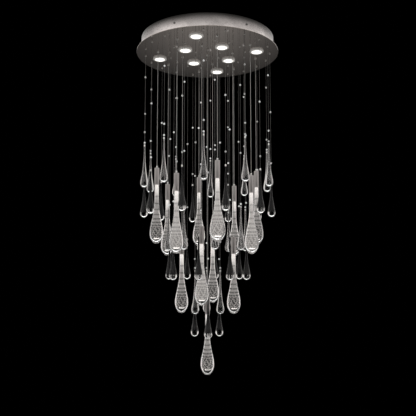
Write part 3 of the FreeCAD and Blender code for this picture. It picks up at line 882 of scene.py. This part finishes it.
def bubble_lattice(sizes, field, top):
    """Bubbles in staggered rows, drawn out along the glass where it narrows to the neck. The first rows
    stray from their even places."""
    longest, deepest = 4.2 * MM, 1.8 * MM
    ball_outline = [(math.sin(t), -math.cos(t)) for t in np.linspace(0, math.pi, 6)]
    ball_outline[0], ball_outline[-1] = (0.0, -1.0), (0.0, 1.0)
    ball, faces = turned(ball_outline, 8)
    shape = Shape()
    for k, (radius, height, slope, pitch) in enumerate(bubble_rows(sizes, field, top)):
        full = height >= sizes.belly_height
        count = sizes.columns if full else max(3, round(sizes.columns * radius / field.belly_radius))
        drawn = (pitch - sizes.belly_pitch) / (sizes.neck_pitch - sizes.belly_pitch)
        across = math.pi * radius / count * (BUBBLE_WIDTH[0] + BUBBLE_WIDTH[1] * drawn)
        along = min(pitch * BUBBLE_LENGTH, longest)
        deep = min(across, deepest) * BUBBLE_DEPTH
        outward = np.array((math.sin(slope), 0, -math.cos(slope)))
        upward = np.array((math.cos(slope), 0, math.sin(slope)))
        axes = np.stack([outward * deep, np.array((0, across, 0)), upward * along])
        bubble = np.array(ball) @ axes + np.array((radius, 0, height))
        loose = max(0, 1 - 3 * drawn)
        for j in range(count):
            aside = STRAY_ASIDE * loose * scatter(ASIDE_STEPS, j, k)
            moved = bubble + upward * (STRAY_ALONG * pitch * loose * scatter(ALONG_STEPS, j, k))
            turn = 2 * math.pi * (j + 0.5 * (k % 2) + aside) / count
            c, s = math.cos(turn), math.sin(turn)
            shape.add((moved @ np.array(((c, s, 0), (-s, c, 0), (0, 0, 1)))).tolist(), faces)
    return shape


def bubble_veil(field, top):
    roof = top - 3 * MM
    return Shape().add(*turned(field.points(roof) + [(0.0, roof)], 48))


class CHANDELIER_OT_strands(bpy.types.Operator):
    """Build the wires, cut beads, caps and drops of the strands"""

    bl_idname = "chandelier.strands"
    bl_label = "Build the Beaded Strands"

    def execute(self, context):
        sizes = context.scene.chandelier_strands
        steel = metal("strand_wire", sizes.wire, 0.45, (900, 900, 700), 0.04 * MM, part_metal=0.5)
        tone = context.scene.chandelier_canopy.nickel
        nickel = metal("cap_nickel", tone, 0.2, (400, 400, 60), 0.01 * MM)
        waves, depth = (40, 40, 12), 0.01 * MM
        clear = clear_glass("clear_drop_glass", sizes.clear_drop, waves, depth, shine=0.8)
        dark_drops = clear_glass("smoky_drop_glass", sizes.dark_drop, waves, depth,
                            sizes.painted_foot_light, sizes.painted_foot_fade, shine=0.4)
        bead_glass = bead_finish(sizes)
        axes = {joint["child"]: Vector(joint["axis"]) for joint in frame["joints"]}
        lowest = lowest_feet()
        for body in STRAND_PAIRS:
            node = BODIES[body][0]
            wires, caps, beads = Shape(), Shape(), Shape()
            pieces = []
            for ending, strand in zip(("_drop_1", "_drop_2"), strands_of(node, axes[body], sizes)):
                foot, wire_top, bead_heights = strand
                glass = dark_drops if foot.z < lowest[ring_of(node)] + KIND_STEP else clear
                drop = Shape().add(*slender_drop(sizes))
                pieces.append(drop.piece(node + ending, glass, body, "clear_crystal", foot))
                caps.add(*cap(sizes), foot)
                wire_foot = foot.z + sizes.drop_length + 0.2 * MM
                rod = rod_outline(sizes.wire_diameter / 2, wire_foot, wire_top)
                wires.add(*turned(rod, 10), (foot.x, foot.y, 0))
                for height in bead_heights:
                    beads.add(*cut_bead(sizes), (foot.x, foot.y, height))
            pieces += [
                wires.piece(node + "_wires", steel, body, "strand_wire_steel"),
                caps.piece(node + "_caps", nickel, body, "grip_nickel"),
                beads.piece(node + "_beads", bead_glass, body, "clear_crystal", crease=5.0),
            ]
            for piece in pieces:
                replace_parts(piece, node)
        return {"FINISHED"}


def ring_of(node):
    return node.split("_strand_")[0]


def lowest_feet():
    """Height of the lowest foot in each ring of strands."""
    lowest = {}
    for body in STRAND_PAIRS:
        node = BODIES[body][0]
        ring = ring_of(node)
        lowest[ring] = min(lowest.get(ring, 0.0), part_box(node)[0].z)
    return lowest


def strands_of(node, along, sizes):
    """The two strands of a pair, one each side of the middle: foot, top of wire and heights of beads."""
    points = [vertex.co for vertex in frame["nodes"][node].data.vertices]
    girdle = sizes.bead_diameter / 2 - 0.3 * MM
    cap_room = 6 * MM
    strands = []
    for side in (1, -1):
        mine = [p for p in points if p.dot(along) * side > 0]
        foot = min(mine, key=lambda p: p.z).copy()
        above = foot.z + sizes.drop_length + cap_room
        wide = [p.z for p in mine if p.z > above and (p - foot).xy.length > girdle]
        strands.append((foot, max(p.z for p in mine), sorted({round(z, 4) for z in wide})))
    return strands


def slender_drop(sizes):
    neck, top = sizes.drop_neck / 2, sizes.drop_length
    outline = DropOutline(sizes.drop_diameter / 2, sizes.drop_belly, neck, top - 1 * MM, DROP_FLANK)
    return turned(outline.points(top)[:-1] + flat_top(neck, top, 0.3 * MM), 48)


def cap(sizes):
    """Nickel cap over the top of a drop, with the wire's hole in it."""
    drop_top, radius, half, bevel = sizes.drop_length, 3 * MM, 4 * MM, 0.2 * MM
    bore, wire = sizes.drop_neck / 2 + 0.05 * MM, sizes.wire_diameter / 2
    foot, top = drop_top - half, drop_top + half
    outline = [(bore, foot), (radius - bevel, foot), (radius, foot + bevel)]
    outline += rounded_edge(radius, top, 1.2 * MM)
    outline += [(wire, top), (wire, drop_top), (bore, drop_top)]
    return turned(outline, 24, closed=True)


def cut_bead(sizes):
    """Cut glass bead with two rings of kite facets, flat tables and a bore for the wire."""
    girdle, bore, half = sizes.bead_diameter / 2, sizes.wire_diameter / 2 + 0.05 * MM, 3.6 * MM
    table, shoulder, shoulder_height = girdle * 0.5, girdle * 0.84, half * 0.45
    outline = [(bore, -half), (table, -half), (shoulder, -shoulder_height), (girdle, 0)]
    outline += [(shoulder, shoulder_height), (table, half), (bore, half)]
    return turned(outline, sizes.bead_facets, closed=True)


class CHANDELIER_OT_stage(bpy.types.Operator):
    """Set up the pale floor, the soft studio lights and the camera"""

    bl_idname = "chandelier.stage"
    bl_label = "Set Up the Stage"

    def execute(self, context):
        stage = context.scene.chandelier_stage
        context.scene.view_settings.view_transform = "Standard"
        studio_world(context.scene, stage)
        floor_disc(context.scene, stage)
        soft_light(context.scene, "front_light", *FRONT_LIGHT, stage.key_power)
        soft_light(context.scene, "back_light", *BACK_LIGHT, stage.back_power)
        lens = bpy.data.cameras.new("camera")
        lens.sensor_width = CAMERA_SENSOR
        lens.lens = CAMERA_LENS
        camera = bpy.data.objects.new("camera", lens)
        camera.location = CAMERA_PLACE
        camera.rotation_euler = (math.radians(90 + CAMERA_TILT), 0, 0)
        context.scene.collection.objects.link(camera)
        context.scene.camera = camera
        return {"FINISHED"}


def studio_world(scene, stage):
    """A dark backdrop for the camera. All else sees a studio: pale above, soft at both sides, dim below.
    Glass lets only the soft sides and the light from high above through."""
    world = bpy.data.worlds.new("studio")
    world.use_nodes = True
    sky = ShaderTree(world.node_tree)
    direction = sky.node("ShaderNodeTexCoord", {}, {}, "Generated")
    height = sky.part(direction, "Z")
    aside = abs(sky.part(direction, "X"))

    below = sky.between(height, *LOW_HEIGHT) * sky.between(aside, *LOW_ASIDE, LOW_BESIDE)
    beside = sky.between(height, *SIDE_HEIGHT) * sky.between(aside, *SIDE_ASIDE)
    low = sky.mixed(below, opaque(stage.dark_belt), opaque(stage.low_tone))
    room = sky.mixed(sky.between(height, *CEILING_HEIGHT), low, opaque(stage.studio))
    studio = sky.mixed(beside, room, opaque(stage.side_tone))

    level = sky.between(height, *GLASS_FOOT) * sky.between(height, *GLASS_HEAD)
    glass_sides = sky.mixed(level * sky.between(aside, *GLASS_ASIDE), BLACK, opaque(stage.glass_tone))
    overhead = sky.between(height + aside * OVERHEAD_ASIDE, *OVERHEAD)
    through_glass = sky.mixed(overhead, glass_sides, opaque(stage.overhead))

    to_camera = sky.node("ShaderNodeLightPath", {}, {}, "Is Camera Ray")
    through = sky.node("ShaderNodeLightPath", {}, {}, "Is Transmission Ray")
    unseen = sky.mixed(through, studio, through_glass)
    sky.feed(sky.nodes["Background"].inputs["Color"], sky.mixed(to_camera, unseen, BLACK))
    scene.world = world


def floor_disc(scene, stage):
    finish = Finish("pale_floor")
    clouds = finish.noise((3, 3, 3))
    finish.surface({
        "Base Color": finish.mixed(clouds, opaque(stage.floor, 0.97), opaque(stage.floor)),
        "Roughness": around(0.65, 0.1, clouds),
    })
    rings = [(stage.floor_radius * k / 8, 0.0) for k in range(9)]
    points, faces = turned(rings, 96)
    mesh = bpy.data.meshes.new("floor")
    mesh.from_pydata(points, [], [face[::-1] for face in faces])
    mesh.materials.append(finish.material)
    floor = bpy.data.objects.new("floor", mesh)
    floor.location = (0, 0, stage.floor_height)
    scene.collection.objects.link(floor)


def soft_light(scene, name, place, target, size, power):
    lamp = bpy.data.lights.new(name, "AREA")
    lamp.shape = "RECTANGLE"
    lamp.size, lamp.size_y = size
    lamp.energy = power
    light = bpy.data.objects.new(name, lamp)
    light.location = place
    light.rotation_euler = (Vector(target) - Vector(place)).to_track_quat("-Z", "Y").to_euler()
    light.visible_camera = False
    scene.collection.objects.link(light)


class CHANDELIER_PT_panel(bpy.types.Panel):
    """Steps and sizes of the crystal chandelier"""

    bl_idname = "CHANDELIER_PT_panel"
    bl_label = "Crystal Chandelier"
    bl_space_type = "VIEW_3D"
    bl_region_type = "UI"
    bl_category = "Chandelier"

    def draw(self, context):
        for group, operators in STEPS:
            box = self.layout.box()
            settings = getattr(context.scene, group)
            for name in settings.__annotations__:
                box.prop(settings, name)
            for operator in operators:
                box.operator(operator.bl_idname)


GROUPS = {
    "chandelier_canopy": CanopyFinishes,
    "chandelier_pendants": PendantSizes,
    "chandelier_strands": StrandSizes,
    "chandelier_stage": StageSettings,
}
STEPS = (
    ("chandelier_canopy", (CHANDELIER_OT_canopy, CHANDELIER_OT_lamps)),
    ("chandelier_pendants", (CHANDELIER_OT_holders, CHANDELIER_OT_crystals)),
    ("chandelier_strands", (CHANDELIER_OT_strands,)),
    ("chandelier_stage", (CHANDELIER_OT_stage,)),
)
OPERATORS = [operator for group, operators in STEPS for operator in operators]


def register():
    for made in (*GROUPS.values(), *OPERATORS, CHANDELIER_PT_panel):
        bpy.utils.register_class(made)
    for name, group in GROUPS.items():
        setattr(bpy.types.Scene, name, PointerProperty(type=group))


def unregister():
    for name in GROUPS:
        delattr(bpy.types.Scene, name)
    for made in (CHANDELIER_PT_panel, *reversed(OPERATORS), *reversed(GROUPS.values())):
        bpy.utils.unregister_class(made)


def main():
    register()
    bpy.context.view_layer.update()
    bpy.ops.chandelier.canopy()
    bpy.ops.chandelier.lamps()
    bpy.ops.chandelier.holders()
    bpy.ops.chandelier.crystals()
    bpy.ops.chandelier.strands()
    bpy.ops.chandelier.stage()


if __name__ == "__main__":
    main()
